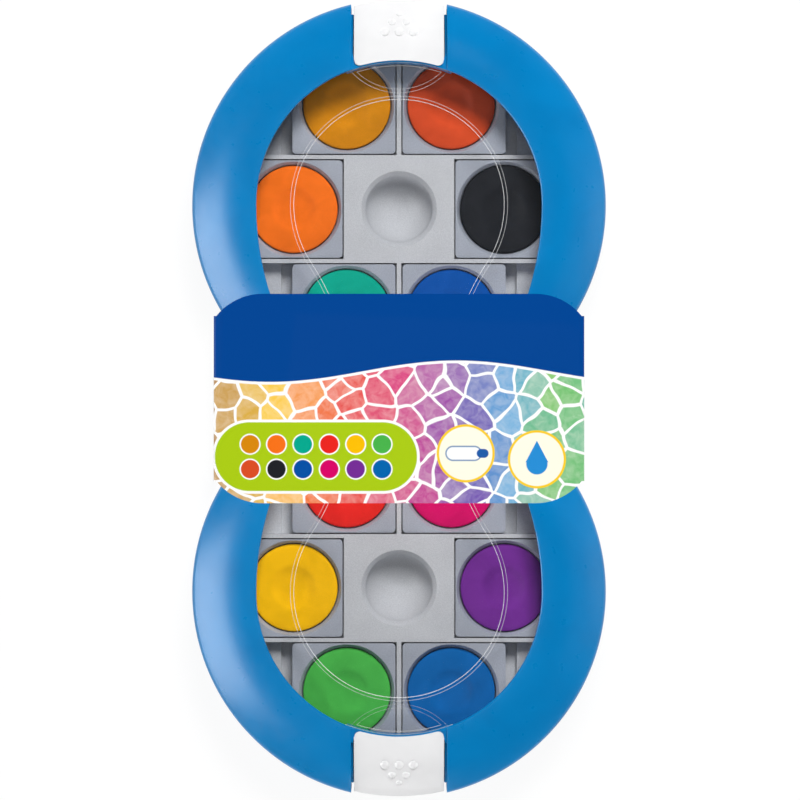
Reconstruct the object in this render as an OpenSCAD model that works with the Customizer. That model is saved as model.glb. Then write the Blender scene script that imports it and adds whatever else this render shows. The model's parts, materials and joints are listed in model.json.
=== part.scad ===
// Opaque watercolour paint box: a waisted, figure-eight case with a lift-off lid. A grey insert holds
// twelve square paint cups, two round wells and a tube of white, two white latches close the ends, and
// a printed card band goes round the waist. +Z is up, +Y runs along the box, and the origin is the
// middle of the footprint, on the table.

/* [Paint cups] */
// Radius of a paint cake
cake_r = 15; // [13:0.1:16]
// Thickness of a paint cake at its edge
cake_t = 4.6; // [3:0.1:7]
// Radius of the dip in the middle of a cake
cake_dip_r = 7.5; // [4:0.5:10]
// Depth of that dip
cake_dip_d = 0.6; // [0.2:0.1:1.5]
// Gap between a cake and the wall of its cup
cake_gap = 0.3; // [0.1:0.05:0.5]
// Plastic left between the countersink and the side of a cup
cup_land = 0.4; // [0.3:0.05:2]
// Width of the sloping countersink above a cake
sink_w = 1; // [0.5:0.1:2]
// Depth of that countersink
sink_d = 1.8; // [0.8:0.1:3]
// Extra width of a cup on its finger side
cup_grip = 1.9; // [0:0.1:4]
// Thickness of a cup's floor
cup_floor = 1.6; // [1:0.1:3]
// Corner radius of a cup
cup_corner = 1.4; // [0.5:0.1:3]
// Gap between a cup and its socket
cup_fit = 0.2; // [0.1:0.05:0.5]
// How far the top of a cup lies under the face of the insert
cup_drop = 0.3; // [0:0.1:1]

/* [Insert] */
// Thickness of the insert's face
plate_t = 1.6; // [1.2:0.1:3]
// Thickness of the walls and floors of its recesses
recess_wall = 1.3; // [1:0.1:2]
// Web between the rows of cups
web_t = 1.6; // [1:0.1:4]
// Web between the left and the right cups
mid_web = 1.8; // [1.2:0.1:6]
// Radius of a round well at its mouth
well_r = 12.95; // [8:0.05:15]
// Radius of the bowl of a well at its brim
bowl_brim_r = 11.5; // [8:0.1:12.5]
// Depth of a round well
well_d = 12; // [9:0.5:16]
// Depth of the sloping mouth above the bowl
mouth_d = 2; // [1:0.1:4]
// Face left round a well
well_land = 5.95; // [3:0.05:12]
// Width of the finger slot beside a cup
finger_w = 3.8; // [2:0.1:6]
// Depth of the side pockets beyond the finger slots
pocket_d = 5.5; // [3:0.5:8]
// Width of the trough that holds the tube
trough_w = 21.2; // [20.6:0.1:30]
// Depth of that trough
trough_d = 12; // [9:0.5:15]

/* [Tube of white] */
// Radius of the tube
tube_r = 6.5; // [5:0.1:7]
// Length of the tube from its folded end to its shoulder
tube_l = 62; // [45:1:66]
// Width of the folded end
fold_w = 20; // [14:0.5:20.5]
// Thickness of the folded end
fold_t = 1.4; // [0.8:0.1:2]
// Length of the folded end
fold_l = 3; // [2:0.5:6]
// Length of the tube that is still round, next to its shoulder
round_l = 18.6; // [5:0.1:30]
// Height of the shoulder
shoulder_h = 2.6; // [1:0.1:5]
// Radius of the neck
neck_r = 3.5; // [2:0.1:4]
// Length of the neck
neck_l = 6; // [4:0.5:8]
// Radius of the screw cap
cap_r = 5.8; // [5:0.1:6.4]
// Length of the screw cap
cap_l = 11; // [9:0.5:14]
// Chamfer round the end of the cap
cap_chamfer = 1; // [0.3:0.1:2]
// Number of flutes round the cap
cap_flutes = 20; // [8:1:24]
// Radius of a flute
flute_r = 0.5; // [0.2:0.05:0.6]
// Running gap between the neck and the cap
cap_gap = 0.06; // [0.02:0.01:0.1]
// Gap between the tube and the floor of its trough
tube_gap = 0.25; // [0.1:0.05:1]
// Room for a fingertip at each end of the tube
tip_room = 4.25; // [1:0.05:8]

/* [Case] */
// Room between the end cups and the rim of the insert
cup_margin = 0.9; // [0.3:0.1:6]
// How far each lobe's centre lies beyond the middle row of cups
lobe_shift = 1; // [0:0.1:4]
// Radius of the hollow curve at each side of the waist
waist_r = 54; // [48:1:64]
// Thickness of the case walls
wall_t = 2; // [1.6:0.1:3]
// Thickness of the floor
floor_t = 2; // [1.5:0.1:4]
// Height of the foot rings
foot_h = 1.2; // [1:0.1:3]
// Radius of each foot ring
foot_r = 44; // [40:0.5:56]
// Width of a foot ring
foot_w = 4; // [2:0.5:8]
// Room between the deepest recess and the floor
under_room = 1.5; // [0.5:0.1:20]
// Thickness of the tongue that the lid fits over
tongue_t = 1.2; // [0.8:0.1:2]
// Height of that tongue
tongue_h = 2.2; // [1:0.1:4]
// Width of the ledge that carries the insert
ledge_w = 1.5; // [1:0.1:3]
// Sliding gap between the lid, the tongue and the insert
case_fit = 0.3; // [0.2:0.05:0.6]

/* [Lid] */
// Width of the lid frame from its outer edge to the window
frame_w = 22.1; // [19:0.1:26]
// Radius of the rounded top of the frame
crown_r = 34; // [30:0.5:60]
// How far beyond the window's edge that round top would reach its highest
crown_over = 1; // [0.5:0.1:4]
// Height of the upright edge of the lid
edge_h = 4.5; // [3:0.1:12]
// Radius of the flat outward curve at each side of the window
flank_r = 100; // [80:5:140]
// Radius of the hollow curve at the waist of the window
window_waist_r = 60; // [50:5:110]
// Thickness of the clear window
window_t = 1.2; // [0.8:0.1:2]
// How far the window reaches under the frame
window_lap = 2; // [1:0.1:2.6]
// Width of the flat margin between the window's edge and the mixing dish
dish_margin = 11.4; // [6:0.1:16]
// Radius of the hollow curve at the waist of the mixing dish
dish_waist_r = 82; // [60:1:120]
// Depth of the mixing dish and of the finger notches
dish_d = 1.2; // [0.5:0.1:2]
// Radius of a finger notch
notch_r = 21.8; // [16:0.1:28]
// Room between a finger notch and the dish
notch_room = 1.1; // [0.4:0.1:4]
// Thickness of the frame's bridge behind a latch
bridge_t = 1.2; // [0.8:0.1:2]
// How far the bridge lies under the face of the frame
bridge_sink = 1.4; // [0:0.1:2]
// Thickness of the ribs beside a latch
rib_t = 1.5; // [1:0.1:2]

/* [Latches] */
// Width of a latch
latch_w = 30.5; // [20:0.5:40]
// Gap at each side of a latch
latch_gap = 1; // [0.5:0.1:2]
// Thickness of a latch
latch_t = 2; // [1.5:0.1:2.2]
// How far a latch lies under the face of the frame
latch_sink = 0.8; // [0:0.1:1]
// Depth of the shoulders beside a latch, under the face of the frame
shoulder_d = 3.4; // [3.2:0.1:4]
// Gap between a latch and the bridge
latch_clear = 0.3; // [0.2:0.05:0.6]
// Corner radius of a latch in plan
latch_corner = 2.7; // [1:0.1:5]
// Radius of the latch's barrel
barrel_r = 2.5; // [2:0.1:3]
// Radius of its stub axles
axle_r = 1.3; // [0.9:0.1:1.8]
// Length of an axle in its cheek
axle_l = 2.4; // [1.5:0.1:2.8]
// Running gap of an axle
axle_gap = 0.05; // [0.02:0.01:0.1]
// Thickness of the cheeks that carry the axles
cheek_t = 4; // [3:0.1:6]
// Room left under an opened latch, above the table
table_gap = 0.1; // [0.05:0.05:1]
// Radius of each dot in the row of three grip dots
dot_r = 1.5; // [0.8:0.1:2]
// Radius of each dot in the row of two
mid_dot_r = 1.3; // [0.7:0.1:2]
// Radius of the single dot
small_dot_r = 0.95; // [0.6:0.05:1.6]
// Distance between grip dots in a row
dot_pitch = 4.6; // [3.5:0.1:7]
// Distance between the rows of grip dots
dot_row = 3.2; // [2.5:0.1:3.6]
// Distance from the outer edge to the row of three dots
dot_edge = 11.9; // [10:0.1:14]

/* [Card band] */
// Thickness of the card
card_t = 0.4; // [0.3:0.05:0.8]
// Half the length of the band along the box
card_half_l = 35.3; // [30:0.1:37]
// Half the width of the band across the box
card_half_w = 62.5; // [61.5:0.1:66]
// Radius of the band's cut corners
card_corner = 20; // [16:0.5:24]
// Distance from the band's middle to where a corner starts to curve
card_flat = 46; // [44:0.5:48]
// Gap between the card and the case
card_gap = 0.1; // [0.05:0.05:0.3]
// Room between the card and the ends of the foot rings
card_room = 2; // [0.5:0.1:5]

/* [Hidden] */
$fn = 96;
EPS = 0.01;
seam_lap = 0.1;

COLOURS = [
    ["ochre", [0.85, 0.55, 0.09]],
    ["brick_red", [0.86, 0.31, 0.16]],
    ["orange", [0.95, 0.42, 0.10]],
    ["black", [0.10, 0.11, 0.12]],
    ["emerald", [0.0, 0.58, 0.42]],
    ["ultramarine", [0.03, 0.25, 0.60]],
    ["scarlet", [0.89, 0.13, 0.11]],
    ["magenta", [0.82, 0.0, 0.40]],
    ["yellow", [0.98, 0.75, 0.02]],
    ["violet", [0.44, 0.20, 0.55]],
    ["leaf_green", [0.20, 0.66, 0.25]],
    ["sky_blue", [0.0, 0.38, 0.66]]
];

case_blue = [0.0, 0.47, 0.75];
insert_grey = [0.66, 0.67, 0.69];
latch_white = [0.95, 0.95, 0.95];
window_clear = [0.85, 0.92, 0.95, 0.35];
card_blue = [0.0, 0.28, 0.58];

// Cups: across the box (w) and along it (d)
cake_well_r = cake_r + cake_gap;
cup_d = 2 * (cake_well_r + sink_w + cup_land);
cup_w = cup_d + cup_grip;
cup_h = cup_floor + cake_t + sink_d;
socket_d = cup_d + 2 * cup_fit;
socket_h = cup_h + cup_drop;

// Rows of the insert, counted from the middle of the box
row_pitch = socket_d + web_t;
row_y = [for (i = [0:2]) trough_w / 2 + web_t + socket_d / 2 + i * row_pitch];
near_x = mid_web / 2 + cup_fit;
far_x = well_r + well_land + cup_fit;

// Outline of the case
lobe_y = row_y[1] + lobe_shift;
upper_inset = wall_t + case_fit + tongue_t;
insert_inset = upper_inset + case_fit;
recess_outer_inset = upper_inset + ledge_w + case_fit;
recess_inset = recess_outer_inset + recess_wall;
end_corner = norm([near_x + cup_w, row_y[2] + cup_d / 2 - lobe_y]);
lobe_r = end_corner + cup_margin + recess_inset;
end_y = lobe_y + lobe_r;

// Heights above the table
deepest = max(well_d, trough_d, socket_h);
floor_z = foot_h + floor_t;
rim_z = floor_z + under_room + recess_wall + deepest;
ledge_z = rim_z - plate_t;
seam_z = rim_z + case_fit;
crest_e = frame_w + crown_over;
crown_reach = crest_e + window_lap;
crown_drop = crown_r - sqrt(crown_r ^ 2 - crest_e ^ 2);
top_z = seam_z + edge_h + crown_drop;
sheet_top_z = top_z - wall_t;
sheet_z = sheet_top_z - window_t;

// Window and latches
window_r = lobe_r - frame_w;
bridge_r = window_r + bridge_t;
latch_r = bridge_r + latch_clear;
latch_corner_x = latch_w / 2 - latch_corner;
latch_corner_at = [latch_corner_x, sqrt((latch_r + latch_corner) ^ 2 - latch_corner_x ^ 2)];
notch_half = latch_w / 2 + latch_gap;
slot_half = latch_w / 2 + case_fit;
latch_face_r = lobe_r - latch_sink;
side_y = lobe_y + sqrt(latch_face_r ^ 2 - (latch_w / 2) ^ 2);
pivot_y = side_y - barrel_r - latch_clear;
swing_r = norm([lobe_y + latch_face_r - pivot_y, barrel_r]);
pivot_z = swing_r + table_gap;
recess_y = pivot_y - barrel_r - case_fit;
block_y = recess_y - wall_t;
block_half = slot_half + cheek_t;

// Tube, along X with its cap at +X
tube_len = tube_l + shoulder_h + cap_l;
trough_half = tube_len / 2 + tip_room;
tube_z = rim_z - trough_d + tube_gap + tube_r;
fold_x = -tube_len / 2;
shoulder_x = fold_x + tube_l;
neck_x = shoulder_x + shoulder_h;

// Centre of the hollow waist circle that touches both lobes
function waist_x(r, hollow_r) = sqrt((r + hollow_r) ^ 2 - lobe_y ^ 2);

// Window's edge grown by g: round ends, then flank arcs, then the hollow curve of the waist
module window_outline(g) {
    flank_x = window_r - flank_r;
    span = flank_r + window_waist_r;
    hollow_x = flank_x + sqrt(span ^ 2 - lobe_y ^ 2);
    meet_y = lobe_y * (window_waist_r - g) / span;
    meet_x = hollow_x - sqrt((window_waist_r - g) ^ 2 - meet_y ^ 2);
    both_ends() {
        intersection() {
            translate([0, lobe_y]) circle(window_r + g);
            translate([-lobe_r, lobe_y]) square([2 * lobe_r, lobe_r]);
        }
        intersection() {
            translate([flank_x, lobe_y]) circle(flank_r + g);
            translate([-flank_x, lobe_y]) circle(flank_r + g);
            translate([-lobe_r, meet_y]) square([2 * lobe_r, lobe_y - meet_y]);
        }
    }
    difference() {
        square([2 * meet_x, 2 * meet_y], center = true);
        for (s = [-1, 1]) translate([s * hollow_x, 0]) circle(window_waist_r - g);
    }
}

// Two round lobes joined by a hollow waist, drawn in by inset
module figure_eight(r, hollow_r, inset = 0) {
    x = waist_x(r, hollow_r);
    for (s = [-1, 1]) translate([0, s * lobe_y]) circle(r - inset);
    difference() {
        polygon([[x, 0], [0, lobe_y], [-x, 0], [0, -lobe_y]]);
        for (s = [-1, 1]) translate([s * x, 0]) circle(hollow_r + inset);
    }
}

module case_outline(inset = 0) {
    figure_eight(lobe_r, waist_r, inset);
}

module slab(z0, z1) {
    translate([0, 0, z0]) linear_extrude(z1 - z0) children();
}

// The child as drawn at +X (s = 1), or mirrored to -X (s = -1)
module on_side(s) {
    if (s > 0) children();
    else mirror([1, 0, 0]) children();
}

// Both ends of the box: the child as drawn at +Y, and turned half round to -Y
module both_ends() {
    children();
    rotate(180) children();
}

// A box across |x| < half, from y0 to y1
module end_box(half, y0, y1, z0, z1) {
    translate([-half, y0, z0]) cube([2 * half, y1 - y0, z1 - z0]);
}

// Tall post about a lobe's centre, for cuts that run right through the box
module lobe_post(r) {
    translate([0, lobe_y, -top_z]) cylinder(h = 3 * top_z, r = r);
}

module rounded_rect(w, d, r) {
    translate([r, 0]) square([w - 2 * r, d]);
    translate([0, r]) square([w, d - 2 * r]);
    for (x = [r, w - r], y = [r, d - r]) translate([x, y]) circle(r);
}

// ---- Lower case ----

module foot_rings() {
    both_ends() difference() {
        translate([0, lobe_y, 0]) cylinder(h = foot_h + floor_t / 2, r = foot_r);
        lobe_post(foot_r - foot_w);
        end_box(foot_r + 1, -foot_r, card_half_l + card_room, -1, foot_h);
    }
}

// Room for a latch in the outer face of the case, down to its shoulders
module latch_channel() {
    difference() {
        end_box(notch_half, lobe_y, end_y + 1, -1, top_z + 1);
        lobe_post(lobe_r - shoulder_d);
    }
}

module base_tray() {
    color(case_blue) difference() {
        union() {
            difference() {
                slab(foot_h, rim_z) case_outline();
                slab(floor_z, ledge_z - ledge_w) case_outline(wall_t);
                slab(ledge_z - 2 * ledge_w, ledge_z + EPS) case_outline(upper_inset + ledge_w);
                slab(ledge_z, rim_z + 1) case_outline(upper_inset);
            }
            difference() {
                slab(rim_z - EPS, rim_z + tongue_h) case_outline(wall_t + case_fit);
                slab(rim_z - 1, rim_z + tongue_h + 1) case_outline(upper_inset);
                both_ends() end_box(notch_half + rib_t + case_fit, lobe_y, end_y, rim_z, top_z);
            }
            both_ends() intersection() {
                end_box(block_half, block_y, end_y + 1, foot_h, rim_z);
                slab(foot_h, rim_z) case_outline();
            }
            foot_rings();
        }
        both_ends() {
            end_box(slot_half, recess_y, end_y + 1, -1, pivot_z + barrel_r + case_fit);
            latch_channel();
            translate([0, pivot_y, pivot_z]) rotate([0, 90, 0])
                cylinder(h = 2 * (slot_half + axle_l), r = axle_r + axle_gap, center = true);
        }
    }
}

// ---- Insert with its sockets, pockets, wells and trough ----

// A recess as a 2D shape that both its cut and its outer wall use, grown by g
module socket_shape(x0, w, y, g) {
    translate([x0 - cup_fit - g, y - socket_d / 2 - g])
        square([w + cup_fit + finger_w + 2 * g, socket_d + 2 * g]);
}

module pocket_shape(y, g) {
    x0 = near_x + cup_w + finger_w - EPS;
    translate([x0 - g, y - socket_d / 2 - g]) square([lobe_r, socket_d + 2 * g]);
}

module recess(depth, g, z_drop) {
    intersection() {
        slab(rim_z - depth - z_drop, rim_z + (g > 0 ? 0 : 1)) children();
        slab(0, top_z) case_outline(recess_inset - g);
    }
}

// Every straight-sided recess, as its cut (g = 0) or with its wall round it (g = recess_wall)
module recesses(g) {
    for (s = [-1, 1]) on_side(s) {
        for (t = [-1, 1]) {
            for (i = [0, 2]) {
                recess(socket_h, g, g) socket_shape(near_x, cup_w, t * row_y[i], g);
                recess(pocket_d, g, g) pocket_shape(t * row_y[i], g);
            }
            recess(socket_h, g, g) socket_shape(far_x, cup_w, t * row_y[1], g);
        }
    }
    recess(trough_d, g, g) square([2 * (trough_half + g), trough_w + 2 * g], center = true);
}

// A round well: a sloping mouth over a bowl that is part of a sphere, grown by g
module well(g) {
    bowl_d = well_d - mouth_d;
    bowl_r = (bowl_brim_r ^ 2 + bowl_d ^ 2) / (2 * bowl_d);
    translate([0, 0, rim_z - mouth_d]) cylinder(h = mouth_d + (g > 0 ? 0 : EPS),
        r1 = bowl_brim_r + g, r2 = well_r + g);
    translate([0, 0, rim_z - mouth_d]) intersection() {
        translate([0, 0, bowl_r - bowl_d]) sphere(bowl_r + g);
        translate([0, 0, -well_d]) cylinder(h = well_d + EPS, r = bowl_brim_r + g + EPS);
    }
}

module paint_insert() {
    color(insert_grey) difference() {
        union() {
            slab(ledge_z, rim_z) case_outline(insert_inset);
            recesses(recess_wall);
            both_ends() translate([0, row_y[1], 0]) well(recess_wall);
        }
        recesses(0);
        both_ends() {
            translate([0, row_y[1], 0]) well(0);
            end_box(block_half + case_fit, block_y - case_fit, end_y, 0, top_z);
        }
    }
}

// ---- Paint cups and cakes ----

// Left or right (s) and up or down the box (t) of the cup with this number, 0 to 11
function cup_side(i) = i % 2 == 0 ? -1 : 1;
function cup_row(i) = floor(i / 2);
function cup_y(i) = cup_row(i) < 3 ? row_y[2 - cup_row(i)] : -row_y[cup_row(i) - 3];
function cup_x(i) = (cup_row(i) == 1 || cup_row(i) == 4) ? far_x : near_x;

module at_cup(i) {
    on_side(cup_side(i)) translate([cup_x(i), cup_y(i), rim_z - socket_h]) children();
}

module cup(i) {
    color(insert_grey) at_cup(i) difference() {
        translate([0, -cup_d / 2, 0]) linear_extrude(cup_h) rounded_rect(cup_w, cup_d, cup_corner);
        translate([cup_d / 2, 0, cup_floor]) cylinder(h = cup_h, r = cake_well_r);
        translate([cup_d / 2, 0, cup_h - sink_d])
            cylinder(h = sink_d + EPS, r1 = cake_well_r, r2 = cake_well_r + sink_w);
    }
}

module cake(i) {
    dip_sphere_r = (cake_dip_r ^ 2 + cake_dip_d ^ 2) / (2 * cake_dip_d);
    color(COLOURS[i][1]) at_cup(i) translate([cup_d / 2, 0, cup_floor]) difference() {
        cylinder(h = cake_t, r = cake_r);
        translate([0, 0, cake_t - cake_dip_d + dip_sphere_r]) sphere(dip_sphere_r);
    }
}

// ---- Lid ----

// Section of the lid's rounded top: e inwards from the outer edge, and up from z0
module crown_section(inset, z0) {
    translate([inset, z0]) intersection() {
        square([crown_reach - inset, top_z - inset - z0]);
        union() {
            translate([crest_e - inset, top_z - crown_r - z0]) circle(crown_r - inset);
            translate([crest_e - inset, 0]) square([crown_reach, top_z]);
            square([crest_e, seam_z + edge_h - inset - z0]);
        }
    }
}

// One lobe of the lid as a solid dome, drawn in by inset
module lobe_dome(inset, z0) {
    translate([0, lobe_y, 0]) rotate_extrude() {
        translate([lobe_r, 0]) mirror([1, 0]) crown_section(inset, z0);
        translate([0, z0]) square([lobe_r - crown_reach + EPS, top_z - inset - z0]);
    }
}

// Diamond between the lobes' centres and the centres of the hollow curves, drawn in by d
module waist_diamond(d) {
    x = waist_x(lobe_r, waist_r) - d;
    polygon([[x, 0], [0, lobe_y - d], [-x, 0], [0, d - lobe_y]]);
}

// The lid's waist as a solid, with the same rounded top bent round the hollow curves
module waist_dome(inset, z0) {
    x = waist_x(lobe_r, waist_r);
    intersection() {
        slab(z0, top_z - inset) waist_diamond(0);
        union() {
            for (s = [-1, 1]) translate([s * x, 0, 0]) rotate_extrude()
                translate([waist_r, 0]) crown_section(inset, z0);
            slab(z0, top_z - inset) square([2 * (x - waist_r - crown_reach + EPS), 2 * lobe_y],
                center = true);
        }
    }
}

// The whole lid as a solid, drawn in by inset. The lobes stand EPS proud where they meet the waist.
module dome(inset, z0) {
    both_ends() difference() {
        lobe_dome(inset - EPS, z0);
        slab(z0 - 1, top_z + 1) waist_diamond(seam_lap);
    }
    waist_dome(inset, z0);
}

// Plan of the bridge's fill round a rounded corner of the latch
module bridge_corner() {
    inward = latch_corner_at * window_r / norm(latch_corner_at);
    difference() {
        polygon([latch_corner_at, [notch_half + rib_t, latch_corner_at[1]],
            [notch_half + rib_t, inward[1]], inward]);
        translate(latch_corner_at) circle(latch_corner + latch_clear);
    }
}

// The two ribs beside a latch and the bridge behind it, which carry the frame's cut ends
module latch_surround() {
    difference() {
        union() {
            intersection() {
                lobe_dome(0, seam_z);
                for (s = [-1, 1]) on_side(s) translate([notch_half, lobe_y, 0])
                    cube([rib_t, lobe_r, top_z]);
            }
            intersection() {
                lobe_dome(shoulder_d, seam_z);
                for (s = [-1, 1]) on_side(s) translate([slot_half, lobe_y, 0])
                    cube([notch_half - slot_half + rib_t, lobe_r, top_z]);
            }
            intersection() {
                lobe_dome(bridge_sink, seam_z);
                end_box(notch_half + rib_t, lobe_y, end_y, seam_z + tongue_h, top_z);
                union() {
                    lobe_post(bridge_r);
                    translate([0, lobe_y, 0]) slab(0, top_z) for (s = [-1, 1]) on_side(s) bridge_corner();
                }
            }
        }
        lobe_post(window_r);
    }
}

module lid_frame() {
    color(case_blue) {
        difference() {
            dome(0, seam_z);
            dome(wall_t, seam_z - 1);
            slab(seam_z - 1, sheet_top_z) window_outline(window_lap + case_fit);
            slab(seam_z, top_z + 1) window_outline(0);
            both_ends() end_box(notch_half, lobe_y, end_y + 1, -1, top_z + 1);
        }
        both_ends() latch_surround();
    }
}

module dish_outline(inset) {
    figure_eight(window_r - dish_margin, dish_waist_r, inset);
}

// Finger notch in the window in front of a latch
module notch_outline(inset) {
    dish_end_y = lobe_y + window_r - dish_margin;
    intersection() {
        translate([0, dish_end_y + notch_room + notch_r]) circle(notch_r - inset);
        translate([0, lobe_y]) circle(window_r - EPS - inset);
    }
}

module lid_window() {
    color(window_clear) difference() {
        union() {
            slab(sheet_z, sheet_top_z) window_outline(window_lap);
            slab(sheet_z - dish_d, sheet_z + EPS) {
                dish_outline(0);
                both_ends() notch_outline(0);
            }
        }
        slab(sheet_z, sheet_top_z + 1) {
            dish_outline(window_t);
            both_ends() notch_outline(window_t);
        }
        both_ends() difference() {
            end_box(notch_half + rib_t + case_fit, lobe_y, end_y, 0, top_z);
            lobe_post(window_r - EPS);
        }
    }
}

// ---- Latches, drawn at the +Y end ----

// Plan of one rounded inner corner, to be cut away outside its corner circle
module latch_corner_cut() {
    inward = latch_corner_at * (latch_r - latch_corner) / norm(latch_corner_at);
    difference() {
        polygon([latch_corner_at, [latch_w, latch_corner_at[1]], [latch_w, inward[1]], inward]);
        translate(latch_corner_at) circle(latch_corner);
    }
}

// A low round bump of radius r on the face of the latch, cut from a sphere a quarter larger
module grip_dot(x, e, r) {
    face_r = crown_r - latch_sink;
    z = top_z - crown_r + sqrt(face_r ^ 2 - (crest_e - e) ^ 2);
    sphere_r = 1.25 * r;
    translate([x, lobe_r - e, z - sqrt(sphere_r ^ 2 - r ^ 2)]) sphere(sphere_r);
}

module grip_dots() {
    for (x = [-1, 0, 1]) grip_dot(x * dot_pitch, dot_edge, dot_r);
    for (x = [-0.5, 0.5]) grip_dot(x * dot_pitch, dot_edge - dot_row, mid_dot_r);
    grip_dot(0, dot_edge - 2 * dot_row, small_dot_r);
}

// The bent plate of a latch: a wall up the case's end, then an arm over the frame
module latch_plate() {
    intersection() {
        rotate_extrude() translate([lobe_r, 0]) mirror([1, 0]) difference() {
            crown_section(latch_sink, pivot_z);
            crown_section(latch_sink + latch_t, pivot_z - 1);
        }
        end_box(latch_w / 2, 0, lobe_r, 0, top_z);
    }
}

module latch() {
    color(latch_white) {
        difference() {
            translate([0, lobe_y, 0]) {
                latch_plate();
                grip_dots();
            }
            lobe_post(latch_r);
            translate([0, lobe_y, 0]) slab(0, 2 * top_z)
                for (s = [-1, 1]) on_side(s) latch_corner_cut();
        }
        intersection() {
            end_box(latch_w / 2, pivot_y, end_y, pivot_z - barrel_r, pivot_z + barrel_r);
            lobe_post(latch_face_r);
        }
        translate([0, pivot_y, pivot_z]) rotate([0, 90, 0]) {
            cylinder(h = latch_w, r = barrel_r, center = true);
            cylinder(h = 2 * (slot_half + axle_l - case_fit), r = axle_r, center = true);
        }
    }
}

// ---- Tube of white ----

module tube_body() {
    round_x = shoulder_x - round_l;
    color(latch_white) translate([0, 0, tube_z]) {
        hull() {
            translate([fold_x + fold_l - 1, -fold_w / 2, -fold_t / 4]) cube([EPS, fold_w, fold_t / 2]);
            translate([round_x, 0, 0]) rotate([0, 90, 0]) cylinder(h = EPS, r = tube_r, $fn = 32);
        }
        translate([fold_x, -fold_w / 2, -fold_t / 2]) cube([fold_l, fold_w, fold_t]);
        translate([round_x, 0, 0]) rotate([0, 90, 0]) {
            cylinder(h = round_l, r = tube_r);
            translate([0, 0, round_l]) cylinder(h = shoulder_h, r1 = tube_r, r2 = neck_r);
        }
        translate([neck_x - EPS, 0, 0]) rotate([0, 90, 0]) cylinder(h = neck_l, r = neck_r);
    }
}

module tube_cap() {
    straight_l = cap_l - tube_gap - cap_chamfer;
    color(latch_white) translate([neck_x + tube_gap, 0, tube_z]) rotate([0, 90, 0]) difference() {
        union() {
            cylinder(h = straight_l, r = cap_r);
            translate([0, 0, straight_l]) cylinder(h = cap_chamfer, r1 = cap_r, r2 = cap_r - cap_chamfer);
        }
        translate([0, 0, -neck_l]) cylinder(h = 2 * neck_l + tube_gap, r = neck_r + cap_gap);
        for (i = [0:cap_flutes - 1]) rotate(i * 360 / cap_flutes)
            translate([cap_r + flute_r / 2, 0, 2 * cap_chamfer]) cylinder(h = cap_l, r = flute_r, $fn = 24);
    }
}

// ---- Printed card band, in two halves that part at the seam of the case ----

module band_outline() {
    intersection() {
        square([2 * card_half_w, 2 * card_half_l], center = true);
        union() {
            square([2 * card_flat, 2 * card_half_l], center = true);
            square([2 * (card_flat + card_corner), 2 * (card_half_l - card_corner)], center = true);
            for (x = [-1, 1], y = [-1, 1])
                translate([x * card_flat, y * (card_half_l - card_corner)]) circle(card_corner);
        }
    }
}

// Half length of the side walls, which end just short of the curved corners
function fold_half() = card_half_l - card_corner - card_t
    + sqrt(card_corner ^ 2 - (card_half_w - card_flat) ^ 2);

module band_walls(z0, z1) {
    for (s = [-1, 1]) on_side(s) translate([card_half_w - card_t, -fold_half(), z0])
        cube([card_t, 2 * fold_half(), z1 - z0]);
}

module card_band_front() {
    z = top_z + card_gap;
    color(card_blue) {
        slab(z, z + card_t) band_outline();
        band_walls(seam_z, z + card_t);
    }
}

module card_band_back() {
    z = foot_h - card_gap - card_t;
    color("white") {
        slab(z, z + card_t) band_outline();
        band_walls(z, rim_z);
    }
}

base_tray();
paint_insert();
lid_frame();
lid_window();
latch();  // north_latch
rotate(180) latch();  // south_latch
tube_body();
tube_cap();
card_band_front();
card_band_back();
for (i = [0:len(COLOURS) - 1]) {
    cup(i);
    cake(i);
}
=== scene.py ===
# A paint box seen from straight above: a waisted blue case with a clear window, two white end latches,
# twelve square cups of paint, two water wells and a printed card band round its waist.
import json
from math import acos, asin, atan2, cos, degrees, hypot, pi, radians, sin, sqrt

import bmesh
import bpy
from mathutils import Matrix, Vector


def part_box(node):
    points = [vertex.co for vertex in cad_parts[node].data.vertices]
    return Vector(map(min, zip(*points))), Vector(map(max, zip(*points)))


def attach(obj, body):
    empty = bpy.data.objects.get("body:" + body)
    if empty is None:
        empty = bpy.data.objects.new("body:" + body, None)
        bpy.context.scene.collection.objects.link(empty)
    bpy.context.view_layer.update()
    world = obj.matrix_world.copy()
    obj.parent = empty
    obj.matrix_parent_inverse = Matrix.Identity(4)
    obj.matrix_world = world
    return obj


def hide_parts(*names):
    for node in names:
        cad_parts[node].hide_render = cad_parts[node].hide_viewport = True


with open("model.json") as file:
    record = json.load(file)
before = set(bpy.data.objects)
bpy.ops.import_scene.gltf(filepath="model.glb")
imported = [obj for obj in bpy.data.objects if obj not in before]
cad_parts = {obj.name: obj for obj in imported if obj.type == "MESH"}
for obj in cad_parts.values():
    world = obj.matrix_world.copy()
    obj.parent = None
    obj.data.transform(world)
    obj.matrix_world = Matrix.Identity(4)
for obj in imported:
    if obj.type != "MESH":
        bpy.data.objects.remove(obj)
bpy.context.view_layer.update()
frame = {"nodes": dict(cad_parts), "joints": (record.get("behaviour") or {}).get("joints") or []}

MM = 0.001

# ---- Sizes, taken from the frame or given in metres ----

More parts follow.
